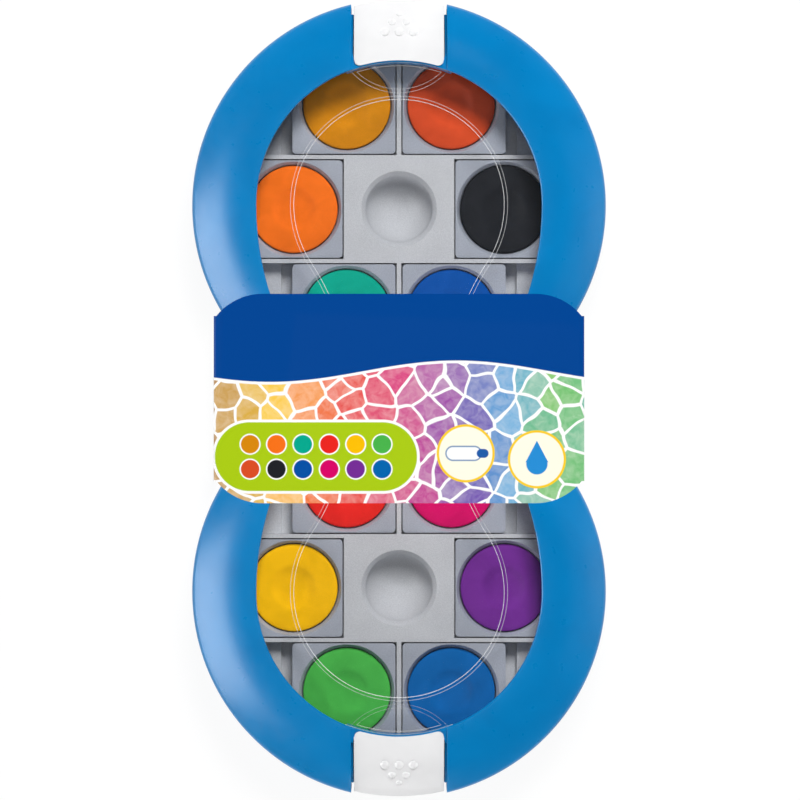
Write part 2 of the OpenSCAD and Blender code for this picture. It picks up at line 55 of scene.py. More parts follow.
WALL = 2 * MM
FRAME_W = 22.1 * MM
CROWN_R = 34 * MM
CREST_E = FRAME_W + 1 * MM
WAIST_R = 54 * MM
FLANK_R = 100 * MM
HOLLOW_R = 60 * MM
WINDOW_LAP = 2 * MM
CASE_FIT = 0.3 * MM
DISH_MARGIN = 11.4 * MM
SEAM_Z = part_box("lid_frame")[0].z
SHEET_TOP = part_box("lid_window")[1].z
TOP_Z = SHEET_TOP + WALL
LOBE_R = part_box("lid_frame")[1].x
WINDOW_R = LOBE_R - FRAME_W
LOBE_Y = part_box("lid_window")[1].y - WINDOW_R
DISH_END_Y = LOBE_Y + WINDOW_R - DISH_MARGIN
WAIST_X = sqrt((LOBE_R + WAIST_R) ** 2 - LOBE_Y ** 2)
HOLLOW_X = WINDOW_R - FLANK_R + sqrt((FLANK_R + HOLLOW_R) ** 2 - LOBE_Y ** 2)
HOLLOW_Y = LOBE_Y * HOLLOW_R / (FLANK_R + HOLLOW_R)
LATCH_HALF = 15.25 * MM
NOTCH_HALF = LATCH_HALF + 1 * MM
RIB_T = 1.5 * MM
BRIDGE_T = 1.2 * MM
BRIDGE_SINK = 1.4 * MM
LATCH_SINK = 0.8 * MM
LATCH_T = 2 * MM
LATCH_CORNER = 2.7 * MM
LATCH_IN_R = WINDOW_R + BRIDGE_T + CASE_FIT
LATCH_CORNER_X = LATCH_HALF - LATCH_CORNER
LATCH_CORNER_Y = LOBE_Y + sqrt((LATCH_IN_R + LATCH_CORNER) ** 2 - LATCH_CORNER_X ** 2)
PIVOT = Vector(next(j for j in frame["joints"] if j["name"] == "north_latch_turn")["pos_m"])

# Radii of the rounded edges
SHOULDER_R = 1.2 * MM
STEP_R = 0.6 * MM
FRAME_EDGE = 0.35 * MM
CASE_EDGE = 0.25 * MM
LATCH_EDGE = 0.22 * MM
BARREL_EDGE = 0.3 * MM
PANE_EDGE = 0.3 * MM
INSERT_EDGE = 0.1 * MM
CUP_EDGE = 0.12 * MM
CAP_EDGE = 0.2 * MM

# The paints as screen colours, two to a row and west before east, from the north end to the south
PAINTS = {
    "ochre": (212, 134, 10), "brick_red": (214, 76, 36), "orange": (243, 112, 24),
    "black": (31, 33, 38), "emerald": (0, 164, 138), "ultramarine": (0, 78, 160),
    "scarlet": (230, 36, 30), "magenta": (212, 0, 100), "yellow": (249, 188, 0),
    "violet": (114, 44, 146), "leaf_green": (72, 176, 74), "sky_blue": (0, 98, 170),
}

# ---- Modelling, as by hand ----


def let_go():
    bpy.ops.object.select_all(action="DESELECT")


def only(piece):
    """Lets everything go and picks up one piece."""
    let_go()
    piece.select_set(True)
    bpy.context.view_layer.objects.active = piece


def edit(piece):
    """Opens a piece in edit mode with all of it selected."""
    only(piece)
    bpy.ops.object.mode_set(mode="EDIT")
    bpy.ops.mesh.select_all(action="SELECT")


def done():
    bpy.ops.object.mode_set(mode="OBJECT")


def settled():
    """The new primitive, with its place, turn and scale put into its mesh."""
    bpy.ops.object.transform_apply(location=True, rotation=True, scale=True)
    return bpy.context.object


def pick(piece, kind, test):
    """In edit mode, selects only the vertices, edges or faces that pass the test."""
    mesh = bmesh.from_edit_mesh(piece.data)
    bpy.ops.mesh.select_all(action="DESELECT")
    for part in getattr(mesh, kind):
        if test(part):
            part.select_set(True)
    mesh.select_flush_mode()
    bmesh.update_edit_mesh(piece.data)


def middle(edge):
    return (edge.verts[0].co + edge.verts[1].co) / 2


def draw(name, points, shape="loop"):
    """Draws points one after another, as an open line, a closed loop of edges or a face."""
    let_go()
    bpy.ops.mesh.primitive_plane_add(size=MM)
    piece = bpy.context.object
    piece.name = piece.data.name = name
    edit(piece)
    bpy.ops.mesh.merge(type="CENTER")
    bpy.ops.transform.translate(value=points[0])
    for here, there in zip(points, points[1:]):
        step = [b - a for a, b in zip(here, there)]
        bpy.ops.mesh.extrude_vertices_move(TRANSFORM_OT_translate={"value": step})
    bpy.ops.mesh.select_all(action="SELECT")
    if shape != "line":
        bpy.ops.mesh.edge_face_add()
    if shape == "loop":
        bpy.ops.mesh.delete(type="ONLY_FACE")
    done()
    return piece


def prism(name, plan, foot, top):
    """A closed solid that stands on a plan of (x, y) points."""
    piece = draw(name, [(x, y, foot) for x, y in plan], shape="face")
    edit(piece)
    bpy.ops.mesh.extrude_region_move(TRANSFORM_OT_translate={"value": (0, 0, top - foot)})
    bpy.ops.mesh.select_all(action="SELECT")
    bpy.ops.mesh.normals_make_consistent(inside=False)
    done()
    return piece


def spin(degrees_round, steps, centre):
    """Sweeps what is selected round an upright axis, anticlockwise seen from above."""
    bpy.ops.mesh.spin(steps=steps, angle=-radians(degrees_round), center=centre, axis=(0, 0, 1))


def cut(piece, x, keep, fill=True):
    """Cuts a mesh at a plane across X and keeps one side of it, with no slivers at the cut."""
    bpy.ops.mesh.select_all(action="SELECT")
    bpy.ops.mesh.bisect(plane_co=(x, 0, 0), plane_no=(1, 0, 0), use_fill=fill,
                        clear_inner=keep == "higher", clear_outer=keep == "lower")
    pick(piece, "verts", lambda v: abs(v.co.x - x) < 0.4 * MM)
    bpy.ops.transform.resize(value=(0, 1, 1), center_override=(x, 0, 0))
    bpy.ops.mesh.remove_doubles(threshold=0.3 * MM)


def join(name, pieces):
    only(pieces[0])
    for piece in pieces:
        piece.select_set(True)
    bpy.ops.object.join()
    pieces[0].name = pieces[0].data.name = name
    return pieces[0]


def mirror(piece, x=False, y=False):
    only(piece)
    modifier = piece.modifiers.new("mirror", "MIRROR")
    modifier.use_axis = (x, y, False)
    modifier.merge_threshold = 0.01 * MM
    bpy.ops.object.modifier_apply(modifier="mirror")
    edit(piece)
    bpy.ops.mesh.remove_doubles(threshold=0.005 * MM)
    bpy.ops.mesh.normals_make_consistent(inside=False)
    done()


def soften(piece, radius, sharper_than=30):
    """Rounds the sharp edges of a piece and shades the rest smooth."""
    edit(piece)
    bpy.ops.mesh.select_mode(type="EDGE")
    bpy.ops.mesh.select_all(action="DESELECT")
    bpy.ops.mesh.edges_select_sharp(sharpness=radians(sharper_than))
    bpy.ops.mesh.bevel(offset=radius, segments=3, affect="EDGES", clamp_overlap=True)
    bpy.ops.mesh.select_mode(type="VERT")
    done()
    smooth(piece)


def smooth(piece, angle=35):
    only(piece)
    bpy.ops.object.shade_smooth_by_angle(angle=radians(angle))


def dress(piece, body, slot, *nodes):
    """Puts a finished piece in the place of the CAD nodes that it stands for."""
    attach(piece, body)
    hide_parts(*nodes)


def merged_copy(node):
    """A copy of a CAD node with its loose triangles joined at their corners."""
    piece = frame["nodes"][node].copy()
    piece.data = piece.data.copy()
    bpy.context.scene.collection.objects.link(piece)
    piece.parent = None
    for key in list(piece.keys()):
        del piece[key]
    piece.name = piece.data.name = node + "_finished"
    piece.data.materials.clear()
    edit(piece)
    bpy.ops.mesh.remove_doubles(threshold=0.002 * MM)
    done()
    return piece


def reshape(piece, rule):
    """Moves each point of a piece to where the rule puts it."""
    for point in piece.data.vertices:
        point.co = rule(point.co.copy())


def narrow(piece, by):
    """Draws the outer walls of a piece in towards its middle, with its hollow as it was."""
    reach = 1.5 * MM
    points = [v.co for v in piece.data.vertices]
    sides = [(axis, min(p[axis] for p in points), max(p[axis] for p in points)) for axis in (0, 1)]

    def drawn_in(point):
        for axis, low_side, high_side in sides:
            point[axis] += by * max(low_side + reach - point[axis], 0) / reach
            point[axis] -= by * max(point[axis] - high_side + reach, 0) / reach
        return point

    reshape(piece, drawn_in)


# ---- Curves of the lid ----


def crown_z(e, inset=0):
    """Height of the frame's rounded top, e inwards from its outer edge, drawn in by inset."""
    return TOP_Z - CROWN_R + sqrt((CROWN_R - inset) ** 2 - (CREST_E - e) ** 2)


def crown_line(e0, e1, steps, inset=0):
    """Points along that rounded top, at even turns from e0 to e1."""
    radius = CROWN_R - inset
    turn0, turn1 = asin((CREST_E - e0) / radius), asin((CREST_E - e1) / radius)
    turns = [turn0 + (turn1 - turn0) * i / steps for i in range(steps + 1)]
    return [(CREST_E - radius * sin(a), TOP_Z - CROWN_R + radius * cos(a)) for a in turns]


def in_window(x, y):
    """Whether a point lies inside the window's edge."""
    x, y = abs(x), abs(y)
    if y > LOBE_Y:
        return hypot(x, y - LOBE_Y) < WINDOW_R
    if y > HOLLOW_Y:
        return hypot(x + FLANK_R - WINDOW_R, y - LOBE_Y) < FLANK_R
    return hypot(HOLLOW_X - x, y) > HOLLOW_R


def edge_inset(centre, radius, angle, turn):
    """How far in from the outer edge the window's edge lies, on the ray at an angle round a centre."""
    near, far = WALL, FRAME_W + WALL
    halvings = 30
    for _ in range(halvings):
        e = (near + far) / 2
        reach = radius - turn * e
        if in_window(centre[0] + reach * cos(angle), centre[1] + reach * sin(angle)):
            far = e
        else:
            near = e
    return near


def at_section(points, centre, radius, angle, turn=1):
    """Turns (e, z) points into places on the upright plane at an angle round a centre."""
    spots = [(radius - turn * e, z) for e, z in points]
    return [(centre[0] + reach * cos(angle), centre[1] + reach * sin(angle), z) for reach, z in spots]


def ring_slice(name, points, x_low, x_high, closed=True):
    """Sweeps a closed (e, z) section round the north lobe and cuts it off at two planes across X."""
    spare = 0.6 * MM
    step = 1.25
    first = acos((x_high + spare) / (LOBE_R - max(e for e, z in points)))
    last = acos((x_low - spare) / (LOBE_R - min(e for e, z in points)))
    piece = draw(name, at_section(points, (0, LOBE_Y), LOBE_R, first))
    edit(piece)
    turn = degrees(last - first)
    spin(turn, round(turn / step), (0, LOBE_Y, 0))
    cut(piece, x_high, "lower")
    cut(piece, x_low, "higher", fill=closed)
    done()
    return piece


# ---- Lid frame ----


def lid_ring():
    """One quarter of the lid's rounded shell, swept round lobe and waist, then fitted to the window."""
    junction = atan2(-LOBE_Y, WAIST_X)
    lobe_steps, waist_steps = 96, 24
    lap = WINDOW_LAP + CASE_FIT
    outside = [(0, SEAM_Z)] + crown_line(0, FRAME_W, 18)
    seat = [(FRAME_W, SHEET_TOP), (FRAME_W - lap, SHEET_TOP)]
    inside = crown_line(FRAME_W - lap, WALL, 8, WALL) + [(WALL, SEAM_Z)]
    ring = draw("lid_ring", at_section(outside + seat + inside, (0, LOBE_Y), LOBE_R, junction))
    edit(ring)
    spin(90 - degrees(junction), lobe_steps, (0, LOBE_Y, 0))
    pick(ring, "verts", lambda v: abs(atan2(v.co.y - LOBE_Y, v.co.x) - junction) < radians(0.1))
    spin(-degrees(junction), waist_steps, (WAIST_X, 0, 0))
    bpy.ops.mesh.select_all(action="SELECT")
    bpy.ops.mesh.remove_doubles(threshold=0.002 * MM)
    done()
    kept, margin = 6 * MM, 3 * MM

    def fitted(point):
        """The point moved in or out so that the ring's inner edge follows the window."""
        if atan2(point.y - LOBE_Y, point.x) > junction - radians(0.05):
            centre, radius, turn = (0, LOBE_Y), LOBE_R, 1
        else:
            centre, radius, turn = (WAIST_X, 0), WAIST_R, -1
        angle = atan2(point.y - centre[1], point.x - centre[0])
        e = turn * (radius - hypot(point.x - centre[0], point.y - centre[1]))
        if e < kept:
            return point
        edge = edge_inset(centre, radius, angle, turn)
        if e > FRAME_W - margin - 0.01 * MM:
            new_e = e - FRAME_W + edge
        else:
            new_e = kept + (e - kept) * (edge - margin - kept) / (FRAME_W - margin - kept)
        z = point.z
        for inset in (0, WALL):
            if abs(z - crown_z(e, inset)) < 0.003 * MM:
                z = crown_z(new_e, inset)
                break
        reach = radius - turn * new_e
        return Vector((centre[0] + reach * cos(angle), centre[1] + reach * sin(angle), z))

    reshape(ring, fitted)
    edit(ring)
    cut(ring, NOTCH_HALF, "higher")
    done()
    return ring


def bridge_corner(foot):
    """The part of the bridge that fills the notch round the latch's rounded corner."""
    radius = LATCH_CORNER + CASE_FIT
    inwards = atan2(LOBE_Y - LATCH_CORNER_Y, -LATCH_CORNER_X)
    corner_turns = [inwards * i / 12 for i in range(13)]
    plan = [(LATCH_CORNER_X + radius * cos(a), LATCH_CORNER_Y + radius * sin(a)) for a in corner_turns]
    side_x, inner_r = NOTCH_HALF + RIB_T / 2, WINDOW_R + 0.4 * MM
    first, last = asin(LATCH_CORNER_X / LATCH_IN_R), asin(side_x / inner_r)
    turns = [first + (last - first) * i / 4 for i in range(5)]
    plan += [(inner_r * sin(a), LOBE_Y + inner_r * cos(a)) for a in turns]
    plan.append((side_x, LATCH_CORNER_Y))
    piece = prism("bridge_corner", plan, foot, TOP_Z)

    def crowned(point):
        """The point of the top face let down to the bridge's rounded top."""
        if point.z > TOP_Z - 0.01 * MM:
            point.z = crown_z(LOBE_R - hypot(point.x, point.y - LOBE_Y), BRIDGE_SINK)
        return point

    reshape(piece, crowned)
    return piece


def latch_rest():
    """The rib, the shoulder and half the bridge that carry the frame's cut ends beside a latch."""
    clear = 0.05 * MM
    rib_sink, shoulder_sink = 0.3 * MM, 3.4 * MM
    rib_end = FRAME_W - clear
    rib_line = crown_line(rib_sink, rib_end, 8, rib_sink)
    rib = ring_slice("rib", [(rib_sink, SEAM_Z)] + rib_line + [(rib_end, SEAM_Z)],
                     NOTCH_HALF + clear, NOTCH_HALF + RIB_T)

    shoulder_end, shoulder_foot = rib_end - clear, SEAM_Z + clear
    shoulder_line = crown_line(shoulder_sink, shoulder_end, 8, shoulder_sink)
    section = [(shoulder_sink, shoulder_foot)] + shoulder_line + [(shoulder_end, shoulder_foot)]
    shoulder = ring_slice("shoulder", section, LATCH_HALF + CASE_FIT, NOTCH_HALF + RIB_T / 2)

    bridge_e = FRAME_W - BRIDGE_T
    bridge_foot = SEAM_Z + 2.2 * MM
    bridge_line = [(bridge_e, crown_z(bridge_e, BRIDGE_SINK)), (FRAME_W, crown_z(FRAME_W, BRIDGE_SINK))]
    bridge = ring_slice("bridge", [(bridge_e, bridge_foot)] + bridge_line + [(FRAME_W, bridge_foot)],
                        0, NOTCH_HALF + RIB_T / 2, closed=False)
    return [rib, shoulder, bridge, bridge_corner(bridge_foot + clear)]


def at_shoulder(edge):
    """Whether an edge lies where the ring's upright side meets its rounded top."""
    return abs(middle(edge).z - crown_z(0)) < 0.01 * MM and edge.calc_face_angle(0) > radians(30)


def at_step(edge):
    """Whether an edge runs along the top of the step down to the window."""
    level = abs(edge.verts[0].co.z - edge.verts[1].co.z) < 0.05 * MM
    steep = edge.calc_face_angle(0) > radians(60)
    on_top = middle(edge).z > TOP_Z - 0.15 * MM
    return level and steep and on_top and abs(middle(edge).x) > NOTCH_HALF + RIB_T


def lid_frame():
    piece = join("lid_frame_finished", [lid_ring()] + latch_rest())
    mirror(piece, x=True, y=True)
    edit(piece)
    bpy.ops.mesh.select_mode(type="EDGE")
    pick(piece, "edges", at_shoulder)
    bpy.ops.mesh.bevel(offset=SHOULDER_R, segments=4, affect="EDGES", clamp_overlap=False)
    pick(piece, "edges", at_step)
    bpy.ops.mesh.bevel(offset=STEP_R, segments=3, affect="EDGES", clamp_overlap=False)
    done()
    soften(piece, FRAME_EDGE)
    return piece


# ---- Latches ----

BARREL_R = 2.5 * MM
STUB_R = 1.3 * MM
STUB_REACH = 2.4 * MM
LIP_REACH = 1 * MM
LIP_T = 0.5 * MM
LIP_E = LOBE_R - LATCH_IN_R + LIP_REACH
GRIP_E = 11.9 * MM
GRIP_ROW = 3.5 * MM
GRIP_PITCH = 4.8 * MM


def rounded_corner(point):
    """The point of the plate drawn out from the window where the plate's inner corners are round."""
    kept = 12 * MM
    over = point.x - LATCH_CORNER_X
    radius = hypot(point.x, point.y - LOBE_Y)
    e = LOBE_R - radius
    if over <= 0 or e < kept:
        return point
    lost = LATCH_CORNER - sqrt(max(LATCH_CORNER ** 2 - over ** 2, 0))
    new_e = kept + (e - kept) * (LIP_E - lost - kept) / (LIP_E - kept)
    z = point.z + crown_z(new_e, LATCH_SINK) - crown_z(e, LATCH_SINK)
    return Vector((point.x, LOBE_Y + sqrt((LOBE_R - new_e) ** 2 - point.x ** 2), z))


def latch_plate():
    """The bent plate over the frame, with a thin lip over the bridge."""
    end_e = LOBE_R - LATCH_IN_R
    lip_under, under = LATCH_SINK + LIP_T, LATCH_SINK + LATCH_T
    outside = [(LATCH_SINK, PIVOT.z)] + crown_line(LATCH_SINK, LIP_E, 16, LATCH_SINK)
    lip = [(LIP_E, crown_z(LIP_E, lip_under)), (end_e, crown_z(end_e, lip_under))]
    inside = crown_line(end_e, under, 12, under) + [(under, PIVOT.z)]
    plate = ring_slice("plate", outside + lip + inside, 0, LATCH_HALF, closed=False)
    edit(plate)
    for turn in range(15, 90, 15):
        x = LATCH_HALF - LATCH_CORNER * (1 - cos(radians(turn)))
        bpy.ops.mesh.select_all(action="SELECT")
        bpy.ops.mesh.bisect(plane_co=(x, 0, 0), plane_no=(1, 0, 0))
    done()
    reshape(plate, rounded_corner)
    mirror(plate, x=True)
    soften(plate, LATCH_EDGE, sharper_than=50)
    return plate


def grip_dot(x, e, radius):
    """A low round bump on the latch, as the top of a squashed sphere."""
    let_go()
    bpy.ops.mesh.primitive_uv_sphere_add(segments=24, ring_count=16, radius=radius,
                                         location=(x, LOBE_Y + LOBE_R - e, crown_z(e, LATCH_SINK)))
    dot = bpy.context.object
    dot.scale.z = 0.45
    dot.rotation_euler.x = -asin((CREST_E - e) / (CROWN_R - LATCH_SINK))
    return settled()


def grip_dots():
    """Three rows of dots that narrow and shrink towards the latch's outer edge."""
    dots = [grip_dot(x * GRIP_PITCH, GRIP_E, 1.55 * MM) for x in (-1, 0, 1)]
    dots += [grip_dot(x * GRIP_PITCH, GRIP_E - GRIP_ROW, 1.3 * MM) for x in (-0.5, 0.5)]
    dots.append(grip_dot(0, GRIP_E - 1.8 * GRIP_ROW, 0.95 * MM))
    for dot in dots:
        smooth(dot)
    return dots


def hinge_barrel():
    """The block below the plate, the barrel along its foot, and the stub axles."""
    face_r = LOBE_R - LATCH_SINK
    turn = asin(LATCH_HALF / face_r)
    arc = [turn * (1 - i / 8) for i in range(17)]
    plan = [(-LATCH_HALF, PIVOT.y), (LATCH_HALF, PIVOT.y)]
    plan += [(face_r * sin(a), LOBE_Y + face_r * cos(a)) for a in arc]
    parts = [prism("block", plan, PIVOT.z - BARREL_R, PIVOT.z + BARREL_R)]
    for radius, half in ((BARREL_R, LATCH_HALF), (STUB_R, LATCH_HALF + STUB_REACH)):
        let_go()
        bpy.ops.mesh.primitive_cylinder_add(vertices=48, radius=radius, depth=2 * half, location=PIVOT,
                                            rotation=(0, pi / 2, 0))
        parts.append(settled())
    for part in parts:
        soften(part, BARREL_EDGE)
    return parts


def latch():
    return join("north_latch_finished", [latch_plate()] + hinge_barrel() + grip_dots())


# ---- Cakes of paint ----

# Distance from the middle and depth below the rim, in millimetres, on a cake of this radius
CAKE_PROFILE_R = 15
CAKE_PROFILE = [(0, 1.05), (2.6, 1.03), (4.4, 0.93), (5.8, 0.68), (6.8, 0.32), (7.5, 0.1), (8.6, 0.02),
                (11, 0.03), (13.4, 0.07), (14.4, 0.15), (14.8, 0.3), (14.95, 0.5), (15, 0.8)]


def cake(name, node):
    """A pressed cake: a rounded rim, a slightly uneven face and a soft dip worn in its middle."""
    a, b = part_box(node)
    middle_x, middle_y = (a.x + b.x) / 2, (a.y + b.y) / 2
    shrinkage = 0.1 * MM
    radius = (b.x - a.x) / 2 - shrinkage
    rim = [(radius * r / CAKE_PROFILE_R, b.z - drop * MM) for r, drop in CAKE_PROFILE]
    line = [(middle_x + r, middle_y, z) for r, z in rim + [(radius, a.z), (0, a.z)]]
    piece = draw(name, line, shape="line")
    edit(piece)
    spin(360, 72, (middle_x, middle_y, 0))
    bpy.ops.mesh.select_all(action="SELECT")
    bpy.ops.mesh.remove_doubles(threshold=0.002 * MM)
    bpy.ops.mesh.normals_make_consistent(inside=False)
    done()
    wave = 2 * pi / (11 * MM)
    deepest = CAKE_PROFILE[0][1] * MM

    def pressed(point):
        """The face of the cake a few hundredths of a millimetre up and down, as it dried."""
        if point.z > b.z - deepest - 0.05 * MM:
            point.z -= 0.04 * MM * (1 + sin(point.x * wave + 1.3 * sin(point.y * wave)))
        return point

    reshape(piece, pressed)
    smooth(piece, 50)
    return piece


# ---- Gaps round the cups ----

# The gap round a cup looks wider than its fit, because moulded edges round away into it:
# each of its two walls stands back by this much
GAP_EXTRA = 0.12 * MM
CUP_FIT = 0.2 * MM
# Where the sockets' walls lie north and east of the middle, which the other quarters mirror
SOCKET_X = [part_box("cup_" + name)[0].x - CUP_FIT for name in ("brick_red", "black")]
SOCKET_Y = [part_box("cup_" + name)[1].y + CUP_FIT for name in ("ochre", "orange", "emerald")]
SOCKET_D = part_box("cup_ochre")[1].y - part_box("cup_ochre")[0].y + 2 * CUP_FIT


def wider_socket(point):
    """The point moved away from the cup if it lies on a wall of a socket."""
    near = 0.02 * MM
    x, y = abs(point.x), abs(point.y)
    for wall in SOCKET_X:
        if abs(x - wall) < near:
            x -= GAP_EXTRA
    for wall in SOCKET_Y:
        if abs(y - wall) < near:
            y += GAP_EXTRA
        elif abs(y - wall + SOCKET_D) < near:
            y -= GAP_EXTRA
    return Vector((x if point.x > 0 else -x, y if point.y > 0 else -y, point.z))


# ---- Tube of white ----

TUBE_LENGTH = 62 * MM
TUBE_R = 6.5 * MM
CAP_R = 5.8 * MM
# Distance along the tube from its shoulder, half its width and half its height, in millimetres
TUBE_RINGS = [(14, 6.5, 6.5), (26, 7.2, 5.6), (38, 8.2, 4.2), (48, 9.1, 2.6), (54, 9.6, 1.5),
              (57, 9.9, 0.75), (59, 10, 0.7), (59.2, 10, 0.55), (60.5, 10, 0.55), (60.7, 10, 0.7),
              (62, 10, 0.7)]
# Distance from the shoulder towards the cap, and radius, in millimetres
NECK_RINGS = [(0.5, 6.2), (1.1, 5.4), (2.1, 4), (2.6, 3.5), (8.6, 3.5)]


def tube():
    """A soft tube that flattens from its round shoulder to a folded end, with a bare neck."""
    axis_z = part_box("tube_cap")[0].z + CAP_R
    shoulder_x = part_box("tube_body")[0].x + TUBE_LENGTH
    let_go()
    bpy.ops.mesh.primitive_circle_add(vertices=64, radius=TUBE_R, location=(shoulder_x, 0, axis_z),
                                      rotation=(0, pi / 2, 0))
    piece = settled()

    def draw_on(rings, way, width, height):
        """Draws the picked ring on along the tube from ring to ring, each at its own width and height."""
        at = 0
        for along, new_width, new_height in rings:
            step = (way * (along - at) * MM, 0, 0)
            bpy.ops.mesh.extrude_region_move(TRANSFORM_OT_translate={"value": step})
            bpy.ops.transform.resize(value=(1, new_width / width, new_height / height),
                                     center_override=(shoulder_x + way * along * MM, 0, axis_z))
            at, width, height = along, new_width, new_height
        bpy.ops.mesh.edge_face_add()

    edit(piece)
    draw_on(TUBE_RINGS, -1, TUBE_R / MM, TUBE_R / MM)
    pick(piece, "verts", lambda v: abs(v.co.x - shoulder_x) < 0.01 * MM)
    draw_on([(along, radius, radius) for along, radius in NECK_RINGS], 1, TUBE_R / MM, TUBE_R / MM)
    bpy.ops.mesh.select_all(action="SELECT")
    bpy.ops.mesh.normals_make_consistent(inside=False)
    done()
    smooth(piece, 40)
    piece.name = piece.data.name = "tube_body_finished"
    return piece


# ---- Card band ----

CARD_T = 0.4 * MM
CARD_CORNER = 20 * MM
CARD_CORNER_X = 46 * MM
CARD_FOLD = 0.9 * MM


def card_outline(half_w, half_l):
    """The flat panel's outline: a straight fold at each side and a round corner at each end of it."""
    corner_y = half_l - CARD_CORNER
    last = acos((half_w - CARD_CORNER_X) / CARD_CORNER)
    arc = [last + (pi / 2 - last) * i / 10 for i in range(11)]
    corner = [(CARD_CORNER_X + CARD_CORNER * cos(t), corner_y + CARD_CORNER * sin(t)) for t in arc]
    outline = corner + [(-x, y) for x, y in reversed(corner)]
    return outline + [(-x, -y) for x, y in corner] + [(x, -y) for x, y in reversed(corner)]


def card_half(node, toward):
    """One half of the band: a flat panel and a wall bent down (-1) or up (1) at each side."""
    a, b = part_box(node)
    face = b.z if toward < 0 else a.z
    fold_x = b.x - CARD_FOLD
    plan = card_outline(fold_x, b.y)
    piece = draw(node + "_finished", [(x, y, face) for x, y in plan], shape="face")
    for side in (1, -1):
        edit(piece)
        pick(piece, "verts", lambda v: v.co.x * side > fold_x - 0.01 * MM)
        for turn in (30, 60, 90):
            before, after = radians(turn - 30), radians(turn)
            across, down = sin(after) - sin(before), cos(before) - cos(after)
            step = (side * CARD_FOLD * across, 0, toward * CARD_FOLD * down)
            bpy.ops.mesh.extrude_edges_move(TRANSFORM_OT_translate={"value": step})
        drop = (0, 0, toward * (b.z - a.z - CARD_FOLD))
        bpy.ops.mesh.extrude_edges_move(TRANSFORM_OT_translate={"value": drop})
        done()
    edit(piece)
    bpy.ops.mesh.normals_make_consistent(inside=False)
    panel = max(bmesh.from_edit_mesh(piece.data).faces, key=lambda f: abs(f.normal.z))
    if panel.normal.z * toward > 0:
        bpy.ops.mesh.flip_normals()
    done()
    only(piece)
    board = piece.modifiers.new("board", "SOLIDIFY")
    board.thickness = CARD_T
    board.offset = -1
    bpy.ops.object.modifier_apply(modifier="board")
    smooth(piece, 40)
    return piece


# ---- Finishes ----


def rgb(red, green, blue):
    """A screen colour, 0 to 255, as the linear colour that a shader takes."""
    parts = [c / 255 for c in (red, green, blue)]
    return tuple(c / 12.92 if c <= 0.04045 else ((c + 0.055) / 1.055) ** 2.4 for c in parts) + (1,)


class Finish:
    """A material, with short calls that each add a node to it."""

    def __init__(self, name, roughness=0.5, **sockets):
        self.material = bpy.data.materials.new(name)
        self.material.use_nodes = True
        self.tree = self.material.node_tree
        self.shader = self.tree.nodes["Principled BSDF"]
        self.shader.inputs["Roughness"].default_value = roughness
        for socket, value in sockets.items():
            self.shader.inputs[socket.replace("_", " ")].default_value = value
        self.place = self.add("ShaderNodeTexCoord").outputs["Object"]

    def add(self, kind, settings=None, **inputs):
        node = self.tree.nodes.new(kind)
        for setting, value in (settings or {}).items():
            setattr(node, setting, value)
        for socket, value in inputs.items():
            self.feed(value, node.inputs[socket.replace("_", " ")])
        return node

    def feed(self, value, socket):
        if isinstance(value, bpy.types.NodeSocket):
            self.tree.links.new(value, socket)
        else:
            socket.default_value = value

    def math(self, operation, a, b=0.0, c=0.0):
        node = self.add("ShaderNodeMath", {"operation": operation})
        for value, socket in zip((a, b, c), node.inputs):
            self.feed(value, socket)
        return node.outputs[0]

    def mix(self, factor, a, b):
        """Colour a where the factor is 0 and colour b where it is 1."""
        node = self.add("ShaderNodeMix", {"data_type": "RGBA"})
        for value, socket in zip((factor, a, b), (node.inputs[0], node.inputs[6], node.inputs[7])):
            self.feed(value, socket)
        return node.outputs[2]

    def noise(self, scale, detail=2.0, distortion=0.0):
        """Soft random values round 0.5, with scale lumps to the metre."""
        return self.add("ShaderNodeTexNoise", Vector=self.place, Scale=scale, Detail=detail,
                        Distortion=distortion).outputs[0]

    def span(self, value, low, high, to_low=0.0, to_high=1.0):
        node = self.add("ShaderNodeMapRange", Value=value)
        for number, socket in zip((low, high, to_low, to_high), node.inputs[1:5]):
            socket.default_value = number
        return node.outputs[0]

    def ramp(self, value, stops):
        node = self.add("ShaderNodeValToRGB", Fac=value)
        points = node.color_ramp.elements
        while len(points) < len(stops):
            points.new(1)
        for point, (place, colour) in zip(points, stops):
            point.position, point.color = place, colour
        return node.outputs[0]

    def bump(self, height, distance, strength=1.0):
        """Raises the surface by distance where the height is 1."""
        bump = self.add("ShaderNodeBump", Height=height, Distance=distance, Strength=strength)
        self.tree.links.new(bump.outputs[0], self.shader.inputs["Normal"])

    def colour(self, value):
        self.feed(value, self.shader.inputs["Base Color"])

    def rough(self, value):
        self.feed(value, self.shader.inputs["Roughness"])


def moulded_blue():
    """Glossy blue moulding with a fine skin and the faintest streaks of colour."""
    finish = Finish("moulded_blue", roughness=0.34, Specular_IOR_Level=0.42)
    streaks = finish.noise(45, 3, 0.6)
    finish.colour(finish.mix(finish.span(streaks, 0.35, 0.65), rgb(0, 119, 182), rgb(0, 125, 189)))
    finish.rough(finish.span(finish.noise(260, 4), 0.3, 0.7, 0.27, 0.34))
    finish.bump(finish.noise(1400, 3), 0.01 * MM, 0.5)
    return finish.material


def moulded_grey(name, light, dark):
    """Sand-blasted grey moulding: a fine sparkle of grains over broad soft clouds."""
    finish = Finish(name, roughness=0.5)
    grain = finish.noise(2600, 2)
    clouds = finish.span(finish.noise(60, 2), 0.3, 0.7)
    speck = finish.span(grain, 0.38, 0.68)
    value = finish.math("MULTIPLY_ADD", clouds, 0.35, finish.math("MULTIPLY", speck, 0.65))
    finish.colour(finish.mix(value, dark, light))
    finish.rough(finish.span(grain, 0.3, 0.7, 0.42, 0.58))
    finish.bump(grain, 0.04 * MM, 0.6)
    return finish.material


